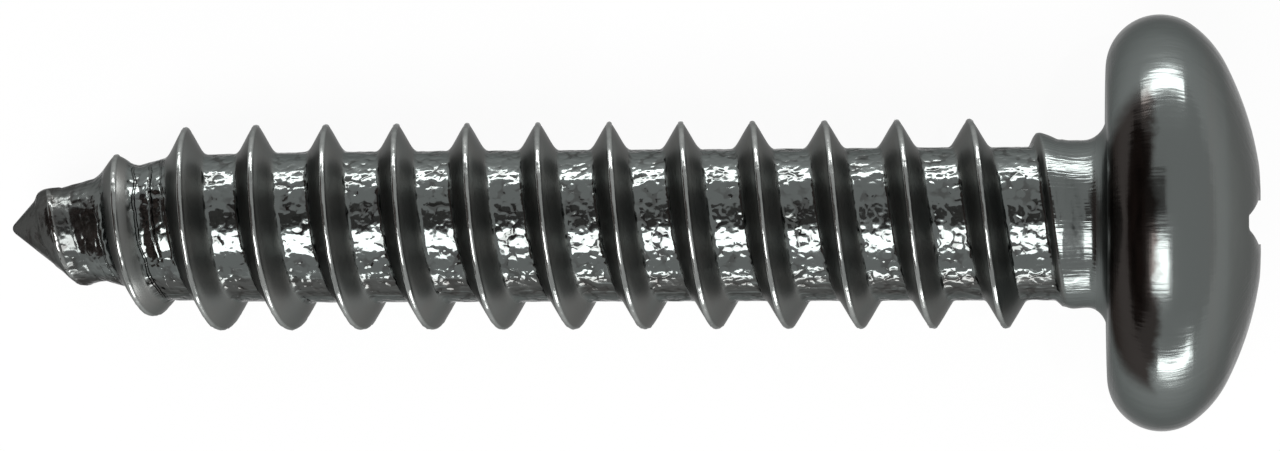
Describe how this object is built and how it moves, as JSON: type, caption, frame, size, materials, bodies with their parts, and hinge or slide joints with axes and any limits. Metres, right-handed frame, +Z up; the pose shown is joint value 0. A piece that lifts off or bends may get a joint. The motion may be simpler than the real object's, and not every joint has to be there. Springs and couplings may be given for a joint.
{
  "type": "sheet metal screw",
  "caption": "Pan head sheet metal screw with a cross recess, a coarse right-hand thread and a cone point, lying as it comes to rest.",
  "frame": {"origin": "on the ground, at the middle of the plan outline of the screw as it lies at rest on the rim of its head and two thread crests", "axes": "+X is the long direction and points from the point to the head, about 6 degrees below the screw's own axis, which rises towards the head; +Z is up; +Y runs across the screw; one pair of recess wings lies along Y"},
  "size_m": [0.0244, 0.008, 0.008],
  "materials": {
    "steel": "bright rolled and headed steel, slightly mottled on the core"
  },
  "bodies": {
    "root": {"screw": "steel"}
  },
  "joints": []
}
